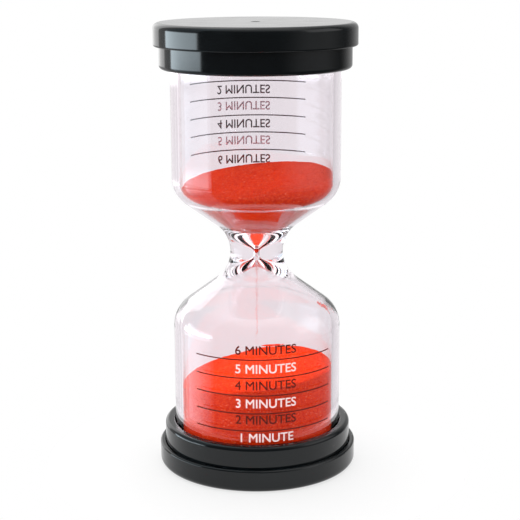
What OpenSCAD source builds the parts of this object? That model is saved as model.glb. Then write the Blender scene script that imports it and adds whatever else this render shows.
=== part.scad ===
// Hourglass sand timer: two clear bulbs joined at a thick waist, red sand, black end caps.
// Z is up, the origin is the centre of the underside, and every size is in millimetres.

/* [Overall] */
// Height from the underside to the top face
total_h = 134; // [126:1:142]
// How far the waist sits below mid height
waist_drop = 1.2; // [0:0.1:3]

/* [End caps] */
// Diameter of the wide cap
cap_d = 60; // [59:0.5:66]
// Height of the wide cap
cap_h = 6.8; // [5:0.1:9]
// Rounding of the cap's outer edge, away from the glass
cap_round = 1.8; // [0.5:0.1:2]
// Diameter of the narrower collar
collar_d = 56.7; // [55:0.1:57.4]
// Height of the collar that stands out of the cap
collar_h = 6.6; // [4:0.1:9]
// Rounding of the collar's outer edge, beside the glass
collar_round = 1.2; // [0.4:0.1:1.2]
// Diameter of the moulding gate mark in each flat end
gate_d = 2.8; // [1:0.1:6]

/* [Bulbs] */
// Outer diameter of the straight part of a bulb
bulb_d = 50.4; // [46:0.1:51]
// Wall thickness of the straight part
wall = 2.3; // [1.6:0.1:3]
// Outer diameter at the waist
waist_d = 15.8; // [15:0.1:19]
// Radius of the shoulder, outside
shoulder_r = 9.2; // [8:0.1:11]
// Radius of the hollow curve that runs into the waist
waist_fillet = 10.5; // [8:0.1:11.5]
// Slope of the funnel's outside, above the horizontal
funnel_slope = 36.5; // [34:0.5:38]
// Slope of the funnel's inside, above the horizontal
inner_slope = 37.5; // [36:0.5:39]

/* [Throat] */
// Diameter of the narrow throat where the two funnels meet
throat_d = 1.2; // [0.9:0.1:2]
// Length of the throat
throat_h = 1; // [0.4:0.1:2]
// Radius of the hollow curve that runs from each funnel into the throat
throat_fillet = 2.5; // [1.5:0.1:4]

/* [Sand] */
// Height of the upper sand's surface on the axis, before its crater
upper_sand_z = 88; // [80:0.5:95]
// Depth of the crater in the upper sand
crater_h = 2.6; // [1:0.1:4]
// Height of the lower sand's surface on the axis, before its mound
lower_sand_z = 28.4; // [20:0.5:36]
// Height of the mound on the lower sand
mound_h = 3.6; // [1:0.1:5]
// Diameter of the falling stream
stream_d = 0.7; // [0.4:0.1:0.9]

/* [Hidden] */

$fn = 96;
eps = 0.01;

cap_r = cap_d / 2;
collar_r = collar_d / 2;
bulb_r = bulb_d / 2;
cavity_r = bulb_r - wall;
waist_r = waist_d / 2;
throat_r = throat_d / 2;
waist_z = total_h / 2 - waist_drop;

// The stack inside each cap, from its flat end inwards: floor, seal, plug flange, bulb mouth
floor_t = 2.2;
seal_t = 0.8;
flange_t = 1.2;
plug_h = 2.6;
mouth_z = floor_t + seal_t + flange_t;
seal_r = bulb_r - 1;
seal_w = 3.5;

// Clearances: cap to collar, collar to glass, plug to glass, sand to glass
socket_gap = 0.15;
glue_gap = 0.25;
plug_gap = 0.05;
sand_gap = 0.05;

// Roundings of the cap's edge beside the collar, of its socket's edge and of the collar's bore
cap_lip_round = 0.6;
socket_lip_round = 0.25;
collar_lip_round = 0.4;

gate_depth = 0.5;

// Inside radius of each bulb's shoulder: tighter than an even wall gives in the upper one,
// wider in the lower one
shoulder_fill = 0.4;
shoulder_ease = 1.4;
upper_inner_r = shoulder_r - wall - shoulder_fill;
lower_inner_r = shoulder_r - wall + shoulder_ease;

// Tilt of each sand surface, towards +X and towards +Y, left by the last time it was turned
upper_tilt = [5.7, 2.5];
lower_tilt = [6.9, 0];
crater_r = 15;
crater_at = [0, 0];
mound_r = 15;
mound_at = [3, 5];

// Reach of the block of sand under a surface, wider and deeper than any bulb
reach = 60;

// Height above the waist at which a shoulder arc meets the straight wall, when a cone of
// this slope leaves the waist at height z0, tangent to the arc, from radius r0
function shoulder_z(wall_r, arc_r, slope, r0, z0) =
    z0 + (wall_r - arc_r + arc_r * sin(slope) - r0) * tan(slope) + arc_r * cos(slope);

// The point where a cone of this slope touches an arc whose centre is given
function tangent(centre, arc_r, slope) = centre + arc_r * [sin(slope), -cos(slope)];

// Outside of a bulb as a half outline, with the middle of the waist at height 0
module bulb_outline(height) {
    hollow = [waist_r + waist_fillet, 0];
    leave = tangent(hollow, -waist_fillet, funnel_slope);
    arc_z = shoulder_z(bulb_r, shoulder_r, funnel_slope, leave[0], leave[1]);
    centre = [bulb_r - shoulder_r, arc_z];
    difference() {
        union() {
            polygon([[0, 0], hollow, leave, tangent(centre, shoulder_r, funnel_slope),
                     centre, [0, arc_z]]);
            translate(centre) circle(shoulder_r);
            translate([0, arc_z]) square([bulb_r, height - arc_z]);
        }
        translate(hollow) circle(waist_fillet);
    }
}

// Cavity of a bulb as a half outline, drawn in by the given gap
module cavity_outline(height, inner_r, gap = 0) {
    wall_r = cavity_r - gap;
    arc_r = inner_r - gap;
    hollow = [throat_r + throat_fillet, throat_h / 2];
    leave = tangent(hollow, -throat_fillet - gap, inner_slope);
    arc_z = shoulder_z(wall_r, arc_r, inner_slope, leave[0], leave[1]);
    centre = [wall_r - arc_r, arc_z];
    difference() {
        union() {
            polygon([[0, -eps], [throat_r - gap, -eps], [throat_r - gap, hollow[1]], hollow, leave,
                     tangent(centre, arc_r, inner_slope), centre, [0, arc_z]]);
            translate(centre) circle(arc_r);
            translate([0, arc_z]) square([wall_r, height - arc_z]);
        }
        translate(hollow) circle(throat_fillet + gap);
    }
}

// One bulb, melted to the other at height 0 and open at its mouth
module bulb(height, inner_r) {
    rotate_extrude() difference() {
        bulb_outline(height);
        cavity_outline(height + eps, inner_r);
    }
}

// What rounding an outer corner takes away; side says which way the corner points
module corner(at, r, side) {
    centre = at - r * side;
    difference() {
        translate([side[0] > 0 ? centre[0] : at[0] - eps, side[1] > 0 ? centre[1] : at[1] - eps])
            square(r + eps);
        translate(centre) circle(r);
    }
}

// Wide cap with its flat end at height 0 and a socket for the collar above it
module cap() {
    socket_r = collar_r + socket_gap;
    rotate_extrude() difference() {
        square([cap_r, cap_h]);
        translate([0, floor_t]) square([socket_r, cap_h]);
        translate([0, -eps]) square([gate_d / 2, gate_depth + eps]);
        corner([cap_r, 0], cap_round, [1, -1]);
        corner([cap_r, cap_h], cap_lip_round, [1, 1]);
        corner([socket_r, cap_h], socket_lip_round, [-1, 1]);
    }
}

// Collar that stands in the cap's socket and surrounds the bulb's mouth
module collar() {
    top = cap_h + collar_h;
    bore_r = bulb_r + glue_gap;
    rotate_extrude() difference() {
        translate([bore_r, floor_t]) square([collar_r - bore_r, top - floor_t]);
        corner([collar_r, top], collar_round, [1, 1]);
        corner([bore_r, top], collar_lip_round, [-1, 1]);
    }
}

// Plug that closes a bulb's mouth: a flange under the glass and a body inside it
module plug() {
    translate([0, 0, floor_t + seal_t]) cylinder(r = bulb_r, h = flange_t);
    translate([0, 0, mouth_z - eps]) cylinder(r = cavity_r - plug_gap, h = plug_h + eps);
}

// Soft ring between the cap's floor and the plug
module seal() {
    translate([0, 0, floor_t]) difference() {
        cylinder(r = seal_r, h = seal_t);
        translate([0, 0, -eps]) cylinder(r = seal_r - seal_w, h = seal_t + 2 * eps);
    }
}

// Turns an end piece over to the top of the timer
module at_top() {
    translate([0, 0, total_h]) rotate([180, 0, 0]) children();
}

// Everything under a tilted plane that crosses the axis at height z
module below(z, tilt) {
    translate([0, 0, z]) rotate([tilt[1], -tilt[0], 0])
        translate([-reach, -reach, -2 * reach]) cube(2 * reach);
}

// Ball whose cap of base radius r stands h above the tilted plane
module swell(z, tilt, at, r, h) {
    ball_r = (r * r + h * h) / (2 * h);
    translate([0, 0, z]) rotate([tilt[1], -tilt[0], 0])
        translate([at[0], at[1], h - ball_r]) sphere(ball_r);
}

module top_cap() { color([0.09, 0.10, 0.11]) at_top() cap(); }
module bottom_cap() { color([0.09, 0.10, 0.11]) cap(); }
module top_collar() { color([0.12, 0.13, 0.14]) at_top() collar(); }
module bottom_collar() { color([0.12, 0.13, 0.14]) collar(); }
module top_plug() { color([0.2, 0.2, 0.21]) at_top() plug(); }
module bottom_plug() { color([0.2, 0.2, 0.21]) plug(); }
module top_seal() { color([0.45, 0.44, 0.42]) at_top() seal(); }
module bottom_seal() { color([0.45, 0.44, 0.42]) seal(); }

module upper_bulb() {
    color([0.93, 0.87, 0.9, 0.35])
        translate([0, 0, waist_z]) bulb(total_h - mouth_z - waist_z, upper_inner_r);
}

module lower_bulb() {
    color([0.93, 0.87, 0.9, 0.35])
        translate([0, 0, waist_z]) rotate([180, 0, 0]) bulb(waist_z - mouth_z, lower_inner_r);
}

module upper_sand() {
    color([0.86, 0.2, 0.1]) intersection() {
        difference() {
            below(upper_sand_z, upper_tilt);
            mirror([0, 0, 1]) translate([0, 0, -2 * upper_sand_z])
                swell(upper_sand_z, -upper_tilt, crater_at, crater_r, crater_h);
        }
        translate([0, 0, waist_z]) rotate_extrude()
            cavity_outline(total_h, upper_inner_r, sand_gap);
    }
}

module lower_sand() {
    color([0.86, 0.2, 0.1]) intersection() {
        union() {
            below(lower_sand_z, lower_tilt);
            swell(lower_sand_z, lower_tilt, mound_at, mound_r, mound_h);
        }
        translate([0, 0, mouth_z + plug_h]) cylinder(r = cavity_r - sand_gap, h = waist_z);
    }
}

module sand_stream() {
    color([0.88, 0.3, 0.25]) difference() {
        cylinder(d = stream_d, h = waist_z - eps);
        union() {
            below(lower_sand_z, lower_tilt);
            swell(lower_sand_z, lower_tilt, mound_at, mound_r, mound_h);
        }
    }
}

top_cap();
top_seal();
top_plug();
top_collar();
upper_bulb();
upper_sand();
sand_stream();
lower_bulb();
lower_sand();
bottom_collar();
bottom_plug();
bottom_seal();
bottom_cap();
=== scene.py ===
import math
import random

import bmesh
import bpy
from mathutils import Matrix, Vector, noise


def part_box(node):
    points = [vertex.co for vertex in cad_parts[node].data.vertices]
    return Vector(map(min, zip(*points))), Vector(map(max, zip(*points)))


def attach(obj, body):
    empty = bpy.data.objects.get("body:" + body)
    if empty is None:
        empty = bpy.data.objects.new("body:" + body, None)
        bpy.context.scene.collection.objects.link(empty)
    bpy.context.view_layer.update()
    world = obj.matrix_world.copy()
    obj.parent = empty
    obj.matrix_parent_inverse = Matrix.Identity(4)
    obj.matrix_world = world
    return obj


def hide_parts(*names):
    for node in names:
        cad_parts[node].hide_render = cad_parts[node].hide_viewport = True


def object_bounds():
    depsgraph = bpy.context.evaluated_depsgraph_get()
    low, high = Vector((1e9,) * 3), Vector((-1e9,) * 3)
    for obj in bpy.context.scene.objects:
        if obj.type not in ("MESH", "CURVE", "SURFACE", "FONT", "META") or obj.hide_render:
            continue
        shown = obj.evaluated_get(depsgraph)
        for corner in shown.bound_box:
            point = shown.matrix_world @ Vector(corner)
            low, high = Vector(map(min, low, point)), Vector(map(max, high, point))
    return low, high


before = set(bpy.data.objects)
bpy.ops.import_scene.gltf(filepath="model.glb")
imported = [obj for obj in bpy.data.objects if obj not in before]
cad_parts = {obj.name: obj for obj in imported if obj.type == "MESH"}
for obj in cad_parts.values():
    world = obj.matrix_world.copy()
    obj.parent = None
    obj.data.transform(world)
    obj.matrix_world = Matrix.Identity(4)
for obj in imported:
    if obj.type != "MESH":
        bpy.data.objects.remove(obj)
cad_low, cad_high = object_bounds()

# An hourglass: two clear bulbs melted together at the waist, red sand, printed scales and black caps.
# Every length is in metres and every place is in the CAD's frame: the timer's axis is Z, the
# underside of its bottom cap is at 0, and the photograph is taken from -Y.
MM = 0.001
DEG = math.pi / 180

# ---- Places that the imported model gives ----

BULB_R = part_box("upper_bulb")[1].x
WAIST_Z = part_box("upper_bulb")[0].z
TOP_MOUTH_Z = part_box("upper_bulb")[1].z
BOTTOM_MOUTH_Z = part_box("lower_bulb")[0].z
PLUG_TOP_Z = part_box("bottom_plug")[1].z
TOTAL_H = cad_high.z

# ---- Glass: the same curves as the CAD bulbs, as one melted piece ----

WALL = 2.3 * MM
CAVITY_R = BULB_R - WALL
WAIST_R = 7.9 * MM
WAIST_FILLET = 10.5 * MM
SHOULDER_R = 9.2 * MM
UPPER_INNER_R = 6.5 * MM
LOWER_INNER_R = 8.3 * MM
FUNNEL_SLOPE = 36.5 * DEG
INNER_SLOPE = 37.5 * DEG
THROAT_R = 0.6 * MM
THROAT_HALF = 0.5 * MM
THROAT_ROUND = 2.5 * MM
MOUTH_ROUND = 0.4 * MM
ARC_STEPS = 28
WALL_STEPS = 12
GLASS_SEGMENTS = 192

# ---- Sand ----

SAND_GAP = 0.05 * MM
SAND_SEGMENTS = 360
SAND_RINGS = 110
SAND_SIDE_STEPS = 44
EDGE_ROUNDS = 8

UPPER_LEVEL = 88.0 * MM
UPPER_TILT = (0.1, 0.043)
UPPER_FOOT = 0.3 * MM
CRATER_DEPTH = 2.6 * MM
CRATER_R = 15 * MM

LOWER_LEVEL = 28.3 * MM
LOWER_TILT = (0.131, -0.034)
HEAP_H = 3.5 * MM
HEAP_AT = (3.4 * MM, 8.8 * MM)
HEAP_SPREAD = 8.66 * MM

# Unevenness of a sand surface: wavelength, height and seed of wide waves, small lumps and grains.
RIPPLES = [(6 * MM, 0.22 * MM, 0), (1.3 * MM, 0.10 * MM, 7), (0.4 * MM, 0.07 * MM, 13)]
UPPER_RIPPLE_SEED = 3
LOWER_RIPPLE_SEED = 21

# ---- Loose grains ----

GRAIN_R = 0.12 * MM
GRAIN_STRETCH = (0.65, 1.25)
GRAIN_STANDS_OUT = (-0.2, 0.7)
UPPER_LOOSE_GRAINS = 1800
LOWER_LOOSE_GRAINS = 2600

STREAM_GRAINS = 220
STREAM_GRAIN_R = 0.75 * GRAIN_R
STREAM_START = 0.4 * MM
STREAM_SPREAD = 0.14 * MM
STREAM_WIDENS = 0.16 * MM
STREAM_THINS = 1.35

STUCK_GRAINS = 260
STUCK_Z = 48.4 * MM
STUCK_HALF_H = 1.5 * MM
STUCK_TURN = -14 * DEG
STUCK_HALF_TURN = -5 * DEG
STUCK_SPREAD = (0.25 * MM, 1.6 * DEG)
STUCK_DEPTH = (0.3, 1.0)

# ---- Print ----

PRINT_LIFT = 0.01 * MM
PRINT_DEPTH = 0.03 * MM
LINE_W = 0.36 * MM
LINE_WOBBLE = 0.12
LINE_HALF_ANGLE = 50.9 * DEG
LINE_STEPS = 96
LETTER_H = 2.6 * MM
LETTER_CUT = 0.5 * MM
LETTER_WELD = 0.0005 * MM
CAPITAL_SHARE = 0.69
BOLD = 0.045 * MM
BOLD_LAYER = 0.1 * PRINT_DEPTH

LOWER_PRINT_TURN = 6.0 * DEG
UPPER_PRINT_TURN = 189.8 * DEG
# Heights of a scale are above the end of the timer that is down when its bulb is the lower one.
LINE_HEIGHTS = [h * MM for h in (17.4, 22.7, 28.15, 33.5, 39.0)]
LABEL_HEIGHTS = {"lower": [h * MM for h in (15.1, 20.65, 25.6, 31.1, 36.1, 41.7)],
                 "upper": [h * MM for h in (14.3, 19.9, 25.0, 30.6, 35.8, 41.7)]}
UPPER_PRINT_SHIFT = 1.9 * MM

# ---- Colours ----

CAP_BLACK = (0.0014, 0.0020, 0.0024)
PLUG_BLACK = (0.02, 0.02, 0.022)
SEAL_GREYS = [(0.25, 0.24, 0.23), (0.36, 0.35, 0.33)]
GLASS_OUTSIDE = [(0.885, 0.822, 0.872), (0.87, 0.80, 0.85)]
GLASS_INSIDE = [(0.99, 0.985, 0.988), (0.98, 0.97, 0.975)]
# Position in the range of grains, from the darkest to the few pale ones, and colour there.
SAND_REDS = [(0, (0.7, 0.026, 0.004)), (0.35, (0.83, 0.038, 0.005)), (0.8, (0.9, 0.055, 0.007)),
             (0.975, (0.92, 0.08, 0.012)), (0.995, (0.94, 0.2, 0.1))]
# Thin spots of an ink, then its full colour. The back coat is the one that shows through the glass.
DARK_INK = [(0.11, 0.012, 0.006), (0.07, 0.006, 0.003)]
DARK_INK_BACK = [(0.10, 0.02, 0.028), (0.06, 0.01, 0.014)]
PALE_INK = [(0.54, 0.38, 0.37), (0.62, 0.46, 0.45)]
# The pale ink's back coat is painted lighter than its front coat: painted light that stands in for the
# light that hardly reaches it inside the glass.
PALE_INK_BACK_PAINTED_LIGHTER = [(0.82, 0.55, 0.58), (0.92, 0.66, 0.69)]
FLOOR_GREY = (0.1, 0.1, 0.1)
FLOOR_GLOW = 0.68

# ---- Studio, with angles in degrees ----

# A turn goes round the timer from 0 at the camera to -90 at its left, and a rise is above the
# horizon. A step is the angle where something is dark, then the angle where it is fully lit. What
# a panel gives is the product of its turn steps and its rise steps, times its strength.
LEFT_BOX = [(-119, -117), (-66, -68)]
LEFT_BACKDROP = [(-134, -138)]
PANELS = {"left box": (LEFT_BOX, [(-5.8, -5.2), (9, -1)], 7.2),
          "left box below that": (LEFT_BOX, [(-9.8, -8.8), (-5.3, -6.3)], 1.1),
          "left box lower still": (LEFT_BOX, [(-14.4, -13.6), (-8.9, -9.7)], 2.6),
          "left box foot": (LEFT_BOX + [(-64, -96)], [(-26, -24), (-13.5, -15.5)], 1.2),
          "left wall": ([(-139, -137), (-66, -68)], [], 0.45),
          "left backdrop": (LEFT_BACKDROP, [], 0.5),
          "left backdrop above": (LEFT_BACKDROP, [(-5.9, -5.3)], 1.1),
          "right box": ([(56, 68), (118, 106)], [(4, 16), (48, 36)], 0.9),
          "right backdrop": ([(115, 150)], [], 0.45)}
# The plain wall behind the timer is a step on both sides, and covers the panels above.
WALL_BEHIND = (162, 176)
WALL_LEVEL = 0.78
# These panels show over the wall too.
OVER_WALL = {"ceiling": ([], [(35, 75)], 0.9),
             "upper right": ([(25, 65), (120, 80)], [(-14, -9)], 0.38)}
# The wall and the light inside the glass end in the dark far below the horizon.
NOT_BELOW = (-50, -35)
BASE_LEVEL = 0.1
# Light added to a reflection inside the glass, and added again from its second bounce on.
INSIDE_LEVEL = 0.28
INSIDE_MORE = 0.45
LEFT_BOX_COLOUR = (0.79, 0.925, 1.0)
# What lights the dull surfaces: a level, and how much it grows towards +X, +Y and +Z.
LAMP_LEVEL = 2.5
LAMP_LEAN = (-0.6, 1.1, 1.75)

FLOOR_R = 0.065

# ---- Camera ----

CAMERA_PLACE = (0.0, -0.40587, 0.15635)
CAMERA_PITCH = 12.97 * DEG
CAMERA_YAW = 0.146 * DEG
CAMERA_ROLL = 0.25 * DEG
CAMERA_LENS = 95.4
CAMERA_SENSOR = 36


# ---- Outlines and meshes ----

def spread(start, stop, steps):
    """Evenly spaced numbers from start to stop, both included."""
    return [start + (stop - start) * k / steps for k in range(steps + 1)]


def shoulder_z(wall_r, arc_r, slope, start_r, start_z):
    """Height above the waist at which a shoulder arc meets the straight wall."""
    run = wall_r - arc_r + arc_r * math.sin(slope) - start_r
    return start_z + run * math.tan(slope) + arc_r * math.cos(slope)


def hollow_arc(centre_r, centre_z, radius, slope):
    """Hollow curve that leaves the waist upright and ends at the funnel's slope."""
    return [(centre_r - radius * math.sin(a), centre_z + radius * math.cos(a))
            for a in spread(math.pi / 2, slope, ARC_STEPS)]


def shoulder_arc(centre_r, centre_z, radius, slope):
    """Rounded curve that starts at the funnel's slope and ends upright."""
    return [(centre_r + radius * math.sin(a), centre_z - radius * math.cos(a))
            for a in spread(slope, math.pi / 2, ARC_STEPS)]


def join(start, end, steps):
    """Points between two points of an outline, without either of them."""
    return [(start[0] + (end[0] - start[0]) * k / steps, start[1] + (end[1] - start[1]) * k / steps)
            for k in range(1, steps)]


def outside_half(height):
    """Outside of one bulb as (radius, height above the waist), from the waist to the mouth."""
    fillet = hollow_arc(WAIST_R + WAIST_FILLET, 0, WAIST_FILLET, FUNNEL_SLOPE)
    arc_z = shoulder_z(BULB_R, SHOULDER_R, FUNNEL_SLOPE, *fillet[-1])
    shoulder = shoulder_arc(BULB_R - SHOULDER_R, arc_z, SHOULDER_R, FUNNEL_SLOPE)
    lip = (BULB_R, height - MOUTH_ROUND)
    return (fillet + join(fillet[-1], shoulder[0], WALL_STEPS) + shoulder
            + join(shoulder[-1], lip, WALL_STEPS) + [lip, (BULB_R - MOUTH_ROUND, height)])


def inside_half(height, shoulder_r):
    """Cavity of one bulb as (radius, height above the waist), from the throat to the mouth."""
    throat = hollow_arc(THROAT_R + THROAT_ROUND, THROAT_HALF, THROAT_ROUND, INNER_SLOPE)
    arc_z = shoulder_z(CAVITY_R, shoulder_r, INNER_SLOPE, *throat[-1])
    shoulder = shoulder_arc(CAVITY_R - shoulder_r, arc_z, shoulder_r, INNER_SLOPE)
    lip = (CAVITY_R, height - MOUTH_ROUND)
    return ([(THROAT_R, 0)] + throat + join(throat[-1], shoulder[0], WALL_STEPS) + shoulder
            + join(shoulder[-1], lip, WALL_STEPS) + [lip, (CAVITY_R + MOUTH_ROUND, height)])


UPPER_INSIDE = inside_half(TOP_MOUTH_Z - WAIST_Z, UPPER_INNER_R)
LOWER_INSIDE = inside_half(WAIST_Z - BOTTOM_MOUTH_Z, LOWER_INNER_R)


def cavity_radius(z):
    """Radius of the cavity at a height, drawn in by the gap that keeps sand off the glass."""
    rise = abs(z - WAIST_Z)
    outline = UPPER_INSIDE if z > WAIST_Z else LOWER_INSIDE
    previous = outline[0]
    for point in outline:
        if point[1] >= rise and point[1] > previous[1]:
            share = (rise - previous[1]) / (point[1] - previous[1])
            return previous[0] + share * (point[0] - previous[0]) - SAND_GAP
        previous = point
    return CAVITY_R - SAND_GAP


def new_piece(name, verts, faces, materials, smooth=True, choice=None):
    """A mesh piece that rides on the one body, with the materials it is given."""
    mesh = bpy.data.meshes.new(name)
    mesh.from_pydata(verts, [], faces)
    mesh.update()
    mesh.polygons.foreach_set("use_smooth", [smooth] * len(mesh.polygons))
    for material in materials:
        mesh.materials.append(material)
    if choice:
        mesh.polygons.foreach_set("material_index", choice)
    piece = bpy.data.objects.new(name, mesh)
    bpy.context.scene.collection.objects.link(piece)
    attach(piece, "root")
    return piece


def merged(parts):
    """Several (vertices, faces) pairs as one."""
    verts = []
    faces = []
    for part_verts, part_faces in parts:
        first = len(verts)
        verts += part_verts
        faces += [tuple(first + i for i in f) for f in part_faces]
    return verts, faces


def turned_loop(outline, segments):
    """Vertices and faces of a closed outline turned round the axis."""
    count = len(outline)
    verts = []
    faces = []
    for k in range(segments):
        turn = 2 * math.pi * k / segments
        verts += [(r * math.cos(turn), r * math.sin(turn), z) for r, z in outline]
        here = k * count
        there = (k + 1) % segments * count
        for i in range(count):
            j = (i + 1) % count
            faces.append((here + i, there + i, there + j, here + j))
    return verts, faces


def turned_solid(outline_at, segments):
    """Vertices and faces of a solid whose outline, pole to pole, may differ at each angle."""
    verts = []
    faces = []
    for k in range(segments):
        turn = 2 * math.pi * k / segments
        outline = outline_at(turn)
        if k == 0:
            count = len(outline) - 2
            verts = [(0, 0, outline[0][1]), (0, 0, outline[-1][1])]
        verts += [(r * math.cos(turn), r * math.sin(turn), z) for r, z in outline[1:-1]]
        here = 2 + k * count
        there = 2 + (k + 1) % segments * count
        faces.append((0, there, here))
        faces.append((1, here + count - 1, there + count - 1))
        for i in range(count - 1):
            faces.append((here + i, there + i, there + i + 1, here + i + 1))
    return verts, faces


# ---- Glass ----

def glass_outline():
    """Outline of both bulbs melted together, in two lists: up the outside, then down the inside."""
    up = TOP_MOUTH_Z - WAIST_Z
    down = WAIST_Z - BOTTOM_MOUTH_Z
    outside = [(r, WAIST_Z - h) for r, h in reversed(outside_half(down)[1:])]
    outside += [(r, WAIST_Z + h) for r, h in outside_half(up)]
    inside = [(r, WAIST_Z + h) for r, h in reversed(UPPER_INSIDE[1:])]
    inside += [(r, WAIST_Z - h) for r, h in LOWER_INSIDE]
    return outside, inside


def make_glass(outer_face, inner_face):
    """Both bulbs as one closed piece, with its own material on each side of the wall."""
    outside, inside = glass_outline()
    verts, faces = turned_loop(outside + inside, GLASS_SEGMENTS)
    choice = ([0] * len(outside) + [1] * len(inside)) * GLASS_SEGMENTS
    glass = new_piece("glass_bulbs", verts, faces, [outer_face, inner_face], choice=choice)
    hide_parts("upper_bulb", "lower_bulb")


# ---- Sand ----

def ripple(x, y, seed):
    """Height that the unevenness of poured sand adds at a place."""
    return sum(noise.noise(Vector((x / size, y / size, seed + own_seed))) * height
               for size, height, own_seed in RIPPLES)


def upper_surface(x, y):
    """Height of the upper sand's surface, which sinks towards the throat."""
    out = min(1, math.hypot(x, y) / CRATER_R)
    crater = CRATER_DEPTH * (1 - out * out) ** 1.5
    plane = UPPER_LEVEL + UPPER_TILT[0] * x + UPPER_TILT[1] * y
    return plane - crater + ripple(x, y, UPPER_RIPPLE_SEED)


def lower_surface(x, y):
    """Height of the fallen sand's surface, a low heap off the axis."""
    away = ((x - HEAP_AT[0]) ** 2 + (y - HEAP_AT[1]) ** 2) / (2 * HEAP_SPREAD ** 2)
    heap = HEAP_H * math.exp(-away)
    plane = LOWER_LEVEL + LOWER_TILT[0] * x + LOWER_TILT[1] * y
    return plane + heap + ripple(x, y, LOWER_RIPPLE_SEED)


def surface_edge(surface, turn):
    """Radius and height at which a sand surface meets the glass, found in a few rounds."""
    r = CAVITY_R - SAND_GAP
    for _ in range(EDGE_ROUNDS):
        z = surface(r * math.cos(turn), r * math.sin(turn))
        r = cavity_radius(z)
    return r, z


def sand_outline(surface, foot_z, turn):
    """Outline of a body of sand at one angle: foot, side along the glass, then the surface."""
    edge_r, edge_z = surface_edge(surface, turn)
    side = [(cavity_radius(z), z) for z in spread(foot_z, edge_z, SAND_SIDE_STEPS)]
    top = [(r, surface(r * math.cos(turn), r * math.sin(turn)))
           for r in spread(edge_r, 0, SAND_RINGS)[1:]]
    return [(0, foot_z)] + side + top


def make_sand(name, surface, foot_z, replaced, material):
    """A body of sand that fills its bulb from the foot's height to its surface."""
    verts, faces = turned_solid(lambda turn: sand_outline(surface, foot_z, turn), SAND_SEGMENTS)
    sand = new_piece(name, verts, faces, [material])
    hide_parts(replaced)


def grain_shape():
    """Points and faces of a plain grain: a small icosphere."""
    bm = bmesh.new()
    bmesh.ops.create_icosphere(bm, subdivisions=1, radius=1)
    points = [v.co.copy() for v in bm.verts]
    faces = [tuple(v.index for v in f.verts) for f in bm.faces]
    bm.free()
    return points, faces


def make_grains(name, places, material, seed, size=GRAIN_R):
    """Loose grains as one mesh, each squashed and turned its own way, with its own tone."""
    draw = random.Random(seed)
    shape, shape_faces = grain_shape()
    verts = []
    faces = []
    tones = []
    for place in places:
        axis = Vector((draw.gauss(0, 1), draw.gauss(0, 1), draw.gauss(0, 1)))
        spin = Matrix.Rotation(draw.uniform(0, math.pi), 3, axis)
        stretch = Vector([size * draw.uniform(*GRAIN_STRETCH) for _ in range(3)])
        tone = draw.random()
        first = len(verts)
        for point in shape:
            verts.append(Vector(place) + spin @ (point * stretch))
        faces += [tuple(first + i for i in f) for f in shape_faces]
        tones += [tone] * len(shape)
    grains = new_piece(name, verts, faces, [material], smooth=False)
    attribute = grains.data.attributes.new("tone", "FLOAT", "POINT")
    attribute.data.foreach_set("value", tones)
    return grains


def loose_places(surface, count, seed):
    """Seeded places on a sand surface, some a little sunk in."""
    draw = random.Random(seed)
    reach = CAVITY_R - 3 * GRAIN_R
    places = []
    while len(places) < count:
        r = reach * math.sqrt(draw.random())
        turn = draw.uniform(0, 2 * math.pi)
        x = r * math.cos(turn)
        y = r * math.sin(turn)
        z = surface(x, y)
        if r < cavity_radius(z) - GRAIN_R:
            places.append((x, y, z + draw.uniform(*GRAIN_STANDS_OUT) * GRAIN_R))
    return places


def stream_places(seed):
    """Seeded places of falling grains: close together in the throat, then spread by their speed."""
    draw = random.Random(seed)
    start_z = WAIST_Z + STREAM_START
    drop = start_z - lower_surface(0, 0)
    places = []
    for _ in range(STREAM_GRAINS):
        fallen = draw.random() ** STREAM_THINS
        width = STREAM_SPREAD + STREAM_WIDENS * fallen
        places.append((draw.gauss(0, width), draw.gauss(0, width), start_z - fallen * drop))
    return places


def stuck_places(seed):
    """Seeded places of the slanting patch of grains that clings inside the lower shoulder."""
    draw = random.Random(seed)
    places = []
    for _ in range(STUCK_GRAINS):
        along = draw.uniform(-1, 1)
        z = STUCK_Z + STUCK_HALF_H * along + draw.gauss(0, STUCK_SPREAD[0])
        turn = STUCK_TURN + STUCK_HALF_TURN * along + draw.gauss(0, STUCK_SPREAD[1])
        r = cavity_radius(z) - draw.uniform(*STUCK_DEPTH) * GRAIN_R
        places.append((r * math.cos(turn), r * math.sin(turn), z))
    return places


# ---- Print ----

def label_mesh(words):
    """Words as a flat mesh of Blender's own typeface."""
    curve = bpy.data.curves.new("label", "FONT")
    curve.body = words
    curve.size = LETTER_H / CAPITAL_SHARE
    curve.align_x = "CENTER"
    curve.align_y = "CENTER"
    curve.extrude = PRINT_DEPTH / 2
    curve.resolution_u = 4
    holder = bpy.data.objects.new("label", curve)
    bpy.context.scene.collection.objects.link(holder)
    bpy.context.view_layer.update()
    mesh = bpy.data.meshes.new_from_object(holder.evaluated_get(bpy.context.evaluated_depsgraph_get()))
    bpy.data.objects.remove(holder)
    bpy.data.curves.remove(curve)
    return mesh


def letters(words):
    """A flat label, cut into upright strips that can bend: x along it, y up, z out of the glass."""
    mesh = label_mesh(words)
    bm = bmesh.new()
    bm.from_mesh(mesh)
    bpy.data.meshes.remove(mesh)
    bmesh.ops.remove_doubles(bm, verts=bm.verts, dist=LETTER_WELD)
    width = max(abs(v.co.x) for v in bm.verts)
    reach = math.ceil(width / LETTER_CUT)
    for k in range(-reach, reach + 1):
        everything = bm.verts[:] + bm.edges[:] + bm.faces[:]
        bmesh.ops.bisect_plane(bm, geom=everything, plane_co=(k * LETTER_CUT, 0, 0), plane_no=(1, 0, 0),
                               dist=LETTER_WELD)
    bmesh.ops.triangulate(bm, faces=bm.faces[:])
    bm.verts.index_update()
    verts = [tuple(v.co) for v in bm.verts]
    faces = [tuple(v.index for v in f.verts) for f in bm.faces]
    bm.free()
    return verts, faces


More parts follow.
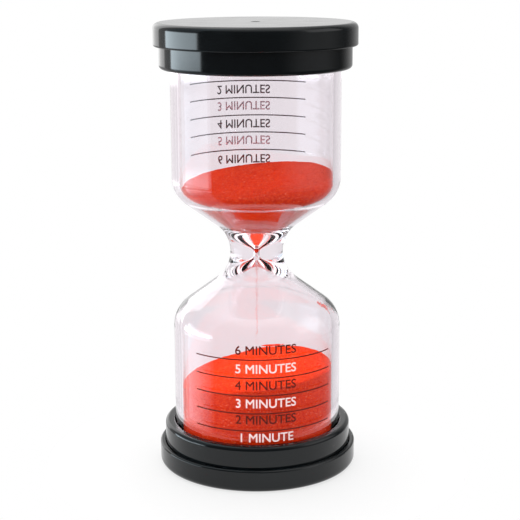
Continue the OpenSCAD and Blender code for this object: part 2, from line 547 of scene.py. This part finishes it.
def bold(flat):
    """A thicker label: four copies, each moved to its own corner and a little above the last."""
    parts = []
    for layer, (side, up) in enumerate(((-1, -1), (1, -1), (-1, 1), (1, 1))):
        verts = [(x + side * BOLD, y + up * BOLD, d + layer * BOLD_LAYER) for x, y, d in flat[0]]
        parts.append((verts, flat[1]))
    return merged(parts)


def rule():
    """One flat rule as a mesh, in the same directions as a label, with slightly uneven edges."""
    verts = []
    faces = []
    half = LINE_HALF_ANGLE * BULB_R
    for k, x in enumerate(spread(-half, half, LINE_STEPS)):
        w = LINE_W / 2 * (1 + LINE_WOBBLE * noise.noise(Vector((x / MM, 0, 5))))
        d = PRINT_DEPTH / 2
        verts += [(x, -w, -d), (x, -w, d), (x, w, d), (x, w, -d)]
        if k > 0:
            here = 4 * k
            for i in range(4):
                j = (i + 1) % 4
                faces.append((here - 4 + i, here - 4 + j, here + j, here + i))
    last = 4 * LINE_STEPS
    faces.append((3, 2, 1, 0))
    faces.append((last, last + 1, last + 2, last + 3))
    return verts, faces


def wrapped(flat, turn, z, upside_down):
    """Bends a flat print round the bulb, centred at an angle from the front, at a height."""
    side = -1 if upside_down else 1
    out = BULB_R + PRINT_LIFT + PRINT_DEPTH / 2
    verts = []
    for x, y, d in flat[0]:
        angle = turn + side * x / BULB_R
        verts.append(((out + d) * math.sin(angle), -(out + d) * math.cos(angle), z + side * y))
    return verts, flat[1]


def faces_the_glass(verts, face):
    """Whether a face of the print lies on the glass, where its back coat shows."""
    return all(math.hypot(*verts[i][:2]) < BULB_R + PRINT_LIFT + PRINT_DEPTH / 4 for i in face)


def make_scale(bulb, labels, line, turn, over, dark, pale):
    """The scale of one bulb: its rules and every second label dark, the other labels pale."""
    def place(h):
        """Where a height of the scale is on the timer."""
        return TOTAL_H - h - UPPER_PRINT_SHIFT if over else h

    rules = [wrapped(line, turn, place(h), over) for h in LINE_HEIGHTS]
    words = [wrapped(label, turn, place(h), over) for label, h in zip(labels, LABEL_HEIGHTS[bulb])]
    for name, parts, inks in (("dark", rules + words[1::2], dark), ("pale", words[0::2], pale)):
        verts, faces = merged(parts)
        new_piece(f"{bulb}_print_{name}", verts, faces, inks, smooth=False,
                  choice=[int(faces_the_glass(verts, face)) for face in faces])


def make_print(dark, pale):
    """The two printed scales, the upper one turned over with its bulb."""
    words = ["1 MINUTE"] + [f"{k} MINUTES" for k in range(2, 7)]
    labels = [bold(letters(w)) for w in words]
    line = rule()
    make_scale("lower", labels, line, LOWER_PRINT_TURN, False, dark, pale)
    make_scale("upper", labels, line, UPPER_PRINT_TURN, True, dark, pale)


# ---- Materials ----

def node(tree, kind, inputs=None, **settings):
    """A shader node with its settings made and its inputs set or linked."""
    made = tree.nodes.new(kind)
    for key, value in settings.items():
        setattr(made, key, value)
    for socket, value in (inputs or {}).items():
        if isinstance(value, bpy.types.NodeSocket):
            tree.links.new(value, made.inputs[socket])
        else:
            made.inputs[socket].default_value = value
    return made


def new_material(name):
    """A material with its tree, its Principled shader and its object coordinates."""
    material = bpy.data.materials.new(name)
    material.use_nodes = True
    tree = material.node_tree
    shader = tree.nodes["Principled BSDF"]
    place = node(tree, "ShaderNodeTexCoord").outputs["Object"]
    return material, tree, shader, place


def ramp(tree, value, stops):
    """Colour ramp over a value; stops are (position, colour)."""
    made = node(tree, "ShaderNodeValToRGB", {"Fac": value})
    elements = made.color_ramp.elements
    while len(elements) < len(stops):
        elements.new(0.5)
    for element, (position, colour) in zip(elements, stops):
        element.position = position
        element.color = (*colour, 1)
    return made.outputs["Color"]


def scaled(tree, value, old, new):
    """A value moved from an old range to a new one, and kept inside it."""
    made = node(tree, "ShaderNodeMapRange", {"Value": value, "From Min": old[0], "From Max": old[1],
                                            "To Min": new[0], "To Max": new[1]})
    return made.outputs["Result"]


def speckle(tree, place, scale, detail=2.0, roughness=0.5):
    """Noise over a place."""
    made = node(tree, "ShaderNodeTexNoise", {"Vector": place, "Scale": scale, "Detail": detail,
                                            "Roughness": roughness})
    return made.outputs["Fac"]


def math_node(tree, operation, *values):
    """Result of one step of arithmetic."""
    return node(tree, "ShaderNodeMath", dict(enumerate(values)), operation=operation).outputs[0]


def add_bump(tree, shader, height, strength, distance, invert=False):
    """Relief on the shader's normal."""
    made = node(tree, "ShaderNodeBump", {"Height": height, "Strength": strength, "Distance": distance},
                invert=invert)
    tree.links.new(made.outputs["Normal"], shader.inputs["Normal"])


def polished_black(name, colour, rough):
    """Glossy moulded plastic with handling haze, fine scratches and a faint mould texture."""
    material, tree, shader, place = new_material(name)
    haze = speckle(tree, place, scale=90, detail=5, roughness=0.62)
    drawn_out = node(tree, "ShaderNodeMapping", {"Vector": place, "Rotation": (0.3, 0.5, 0.9),
                                                 "Scale": (1, 14, 1)}).outputs["Vector"]
    scratches = speckle(tree, drawn_out, scale=900, detail=3, roughness=0.7)
    darker = [0.7 * c for c in colour]
    lighter = [1.5 * c for c in colour]
    tree.links.new(ramp(tree, haze, [(0.3, darker), (0.75, lighter)]), shader.inputs["Base Color"])
    total_rough = math_node(tree, "ADD", scaled(tree, haze, (0.3, 0.75), rough),
                            scaled(tree, scratches, (0.62, 0.8), (0, 0.08)))
    tree.links.new(total_rough, shader.inputs["Roughness"])
    shader.inputs["IOR"].default_value = 1.42
    add_bump(tree, shader, scratches, strength=0.05, distance=0.03 * MM)
    return material


def grain_red(tree, shader, tone):
    """Gives a shader the colour and the roughness of dyed quartz by a tone from 0 to 1."""
    tree.links.new(ramp(tree, tone, SAND_REDS), shader.inputs["Base Color"])
    tree.links.new(scaled(tree, tone, (0, 1), (0.45, 0.8)), shader.inputs["Roughness"])
    shader.inputs["Specular IOR Level"].default_value = 0.0


def packed_sand():
    """A body of dyed sand, where each cell of a fine pattern is a grain with its own red."""
    material, tree, shader, place = new_material("sand")
    cells = node(tree, "ShaderNodeTexVoronoi", {"Vector": place, "Scale": 3600})
    tone = node(tree, "ShaderNodeSeparateColor", {"Color": cells.outputs["Color"]}).outputs["Red"]
    grain_red(tree, shader, tone)
    add_bump(tree, shader, cells.outputs["Distance"], strength=0.5, distance=GRAIN_R, invert=True)
    return material


def loose_sand():
    """Single grains of dyed sand, whose mesh carries the tone of each."""
    material, tree, shader, _ = new_material("loose_sand")
    grain_red(tree, shader, node(tree, "ShaderNodeAttribute", attribute_name="tone").outputs["Fac"])
    return material


def clear_glass(name, tints):
    """Clear glass with a faint, slightly uneven pink cast and a little dust."""
    material, tree, shader, place = new_material(name)
    cast = speckle(tree, place, scale=30)
    tree.links.new(ramp(tree, cast, [(0.35, tints[0]), (0.65, tints[1])]), shader.inputs["Base Color"])
    shader.inputs["Transmission Weight"].default_value = 1
    shader.inputs["IOR"].default_value = 1.5
    dust = speckle(tree, place, scale=260, detail=6, roughness=0.7)
    tree.links.new(scaled(tree, dust, (0.55, 0.8), (0, 0.035)), shader.inputs["Roughness"])
    return material


def screen_ink(name, tones):
    """Thin opaque ink, slightly uneven where the screen laid it down."""
    material, tree, shader, place = new_material(name)
    uneven = speckle(tree, place, scale=1400, detail=3, roughness=0.6)
    tree.links.new(ramp(tree, uneven, [(0.35, tones[0]), (0.6, tones[1])]), shader.inputs["Base Color"])
    tree.links.new(scaled(tree, uneven, (0.3, 0.7), (0.55, 0.35)), shader.inputs["Roughness"])
    shader.inputs["Specular IOR Level"].default_value = 0.15
    add_bump(tree, shader, uneven, strength=0.3, distance=0.01 * MM)
    return material


def soft_rubber():
    """Dull grey rubber of the hidden seals."""
    material, tree, shader, place = new_material("seal_rubber")
    grain = speckle(tree, place, scale=700, detail=4, roughness=0.6)
    tree.links.new(ramp(tree, grain, [(0.3, SEAL_GREYS[0]), (0.7, SEAL_GREYS[1])]),
                   shader.inputs["Base Color"])
    tree.links.new(scaled(tree, grain, (0.3, 0.7), (0.65, 0.85)), shader.inputs["Roughness"])
    add_bump(tree, shader, grain, strength=0.3, distance=0.05 * MM)
    return material


def dress(names, material):
    """Gives CAD nodes a material."""
    for name in names:
        for material_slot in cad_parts[name].material_slots:
            material_slot.material = material


# ---- Studio ----

def make_floor():
    """Plain pale floor, which glows a little so that it stays white up to the timer's foot."""
    bm = bmesh.new()
    bmesh.ops.create_circle(bm, cap_ends=True, segments=128, radius=FLOOR_R)
    mesh = bpy.data.meshes.new("floor")
    bm.to_mesh(mesh)
    bm.free()
    floor = bpy.data.objects.new("floor", mesh)
    bpy.context.scene.collection.objects.link(floor)
    material, _, shader, _ = new_material("floor")
    shader.inputs["Base Color"].default_value = (*FLOOR_GREY, 1)
    shader.inputs["Roughness"].default_value = 0.9
    shader.inputs["Specular IOR Level"].default_value = 0.1
    shader.inputs["Emission Color"].default_value = (1, 1, 1, 1)
    shader.inputs["Emission Strength"].default_value = FLOOR_GLOW
    mesh.materials.append(material)


def soft_step(tree, angle, dark, lit):
    """0 on the dark side of an angle in degrees, 1 on the lit side of another, smooth between."""
    made = node(tree, "ShaderNodeMapRange",
                {"Value": angle, "From Min": dark * DEG, "From Max": lit * DEG},
                interpolation_type="SMOOTHSTEP")
    return made.outputs["Result"]


def blended(tree, share, first, second):
    """The first value where the share is 0, and the second where it is 1."""
    return node(tree, "ShaderNodeMix", {"Factor": share, "A": first, "B": second},
                data_type="FLOAT").outputs[0]


def region(tree, turn, rise, turn_steps, rise_steps):
    """Where a panel of the studio is, from 0 outside it to 1 inside."""
    inside = 1.0
    for angle, steps in ((turn, turn_steps), (rise, rise_steps)):
        for dark, lit in steps:
            inside = math_node(tree, "MULTIPLY", soft_step(tree, angle, dark, lit), inside)
    return inside


def with_panels(tree, turn, rise, panels, level):
    """A level with the light of some panels added to it."""
    for turn_steps, rise_steps, strength in panels.values():
        inside = region(tree, turn, rise, turn_steps, rise_steps)
        level = math_node(tree, "MULTIPLY_ADD", inside, strength, level)
    return level


def reflected_studio(tree, ray, turn, rise):
    """What a glossy reflection sees: the panels, the wall behind, and the panels over it."""
    not_below = soft_step(tree, rise, *NOT_BELOW)
    behind = soft_step(tree, math_node(tree, "ABSOLUTE", turn), *WALL_BEHIND)
    behind = math_node(tree, "MULTIPLY", behind, not_below)
    level = blended(tree, behind, with_panels(tree, turn, rise, PANELS, 0.0), WALL_LEVEL)
    level = with_panels(tree, turn, rise, OVER_WALL, level)
    through = math_node(tree, "GREATER_THAN", ray.outputs["Transmission Depth"], 0.5)
    often = math_node(tree, "GREATER_THAN", ray.outputs["Glossy Depth"], 1.5)
    more = math_node(tree, "MULTIPLY_ADD", often, INSIDE_MORE, INSIDE_LEVEL)
    more = math_node(tree, "MULTIPLY", through, more)
    level = math_node(tree, "MULTIPLY_ADD", more, not_below, level)
    return math_node(tree, "ADD", level, BASE_LEVEL)


def make_world():
    """White surroundings, soft panels in the reflections, and soft light that leans one way."""
    world = bpy.data.worlds.new("studio")
    bpy.context.scene.world = world
    world.use_nodes = True
    world.cycles.sampling_method = "NONE"
    tree = world.node_tree
    background = tree.nodes["Background"]
    ray = node(tree, "ShaderNodeLightPath")
    direction = node(tree, "ShaderNodeTexCoord").outputs["Generated"]
    part = node(tree, "ShaderNodeSeparateXYZ", {"Vector": direction})
    front = math_node(tree, "MULTIPLY", part.outputs["Y"], -1.0)
    turn = math_node(tree, "ARCTAN2", part.outputs["X"], front)
    rise = math_node(tree, "ARCSINE", part.outputs["Z"])

    lean = node(tree, "ShaderNodeVectorMath", {0: direction, 1: LAMP_LEAN}, operation="DOT_PRODUCT")
    lamp = math_node(tree, "ADD", lean.outputs["Value"], LAMP_LEVEL)
    lit = math_node(tree, "GREATER_THAN", ray.outputs["Diffuse Depth"], 0.5)
    shiny = math_node(tree, "GREATER_THAN", ray.outputs["Glossy Depth"], 0.5)
    seen = blended(tree, shiny, 1.0, reflected_studio(tree, ray, turn, rise))
    tree.links.new(blended(tree, lit, seen, lamp), background.inputs["Strength"])
    cool = math_node(tree, "MULTIPLY", region(tree, turn, rise, LEFT_BOX, []), shiny)
    tree.links.new(ramp(tree, cool, [(0, (1, 1, 1)), (1, LEFT_BOX_COLOUR)]), background.inputs["Color"])


def make_camera():
    """Camera a little above the timer, looking down at it."""
    data = bpy.data.cameras.new("camera")
    data.sensor_width = CAMERA_SENSOR
    data.lens = CAMERA_LENS
    data.clip_start = 0.01
    camera = bpy.data.objects.new("camera", data)
    bpy.context.scene.collection.objects.link(camera)
    aim = Matrix.Rotation(-CAMERA_YAW, 4, "Z") @ Matrix.Rotation(math.pi / 2 - CAMERA_PITCH, 4, "X")
    aim = aim @ Matrix.Rotation(-CAMERA_ROLL, 4, "Z")
    camera.matrix_world = Matrix.Translation(CAMERA_PLACE) @ aim
    bpy.context.scene.camera = camera


def set_light_paths():
    """Light paths deep enough for glass, and colours shown as they are."""
    scene = bpy.context.scene
    scene.view_settings.view_transform = "Standard"
    scene.cycles.max_bounces = 64
    scene.cycles.transmission_bounces = 48
    scene.cycles.glossy_bounces = 48
    scene.cycles.sample_clamp_indirect = 8


# ---- Build ----

make_camera()
make_world()
make_floor()
set_light_paths()

packed = packed_sand()
loose = loose_sand()

dress(["top_cap", "top_collar", "bottom_collar", "bottom_cap"],
      polished_black("black_plastic", CAP_BLACK, rough=(0.06, 0.14)))
dress(["top_plug", "bottom_plug"], polished_black("plug_plastic", PLUG_BLACK, rough=(0.3, 0.45)))
dress(["top_seal", "bottom_seal"], soft_rubber())

make_glass(clear_glass("glass_outside", GLASS_OUTSIDE), clear_glass("glass_inside", GLASS_INSIDE))
make_sand("upper_sand_body", upper_surface, WAIST_Z + UPPER_FOOT, "upper_sand", packed)
make_sand("lower_sand_body", lower_surface, PLUG_TOP_Z + SAND_GAP, "lower_sand", packed)
make_grains("upper_loose_grains", loose_places(upper_surface, UPPER_LOOSE_GRAINS, seed=5), loose, seed=6)
make_grains("lower_loose_grains", loose_places(lower_surface, LOWER_LOOSE_GRAINS, seed=7), loose, seed=8)
stream = make_grains("falling_grains", stream_places(seed=11), loose, seed=9, size=STREAM_GRAIN_R)
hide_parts("sand_stream")
make_grains("stuck_grains", stuck_places(seed=17), loose, seed=10)
# The pale ink's back coat carries painted light: it is lighter than the front coat to make up for the
# dim inside of the glass.
make_print([screen_ink("dark_ink", DARK_INK), screen_ink("dark_ink_back", DARK_INK_BACK)],
           [screen_ink("pale_ink", PALE_INK), screen_ink("pale_ink_back_painted_lighter", PALE_INK_BACK_PAINTED_LIGHTER)])
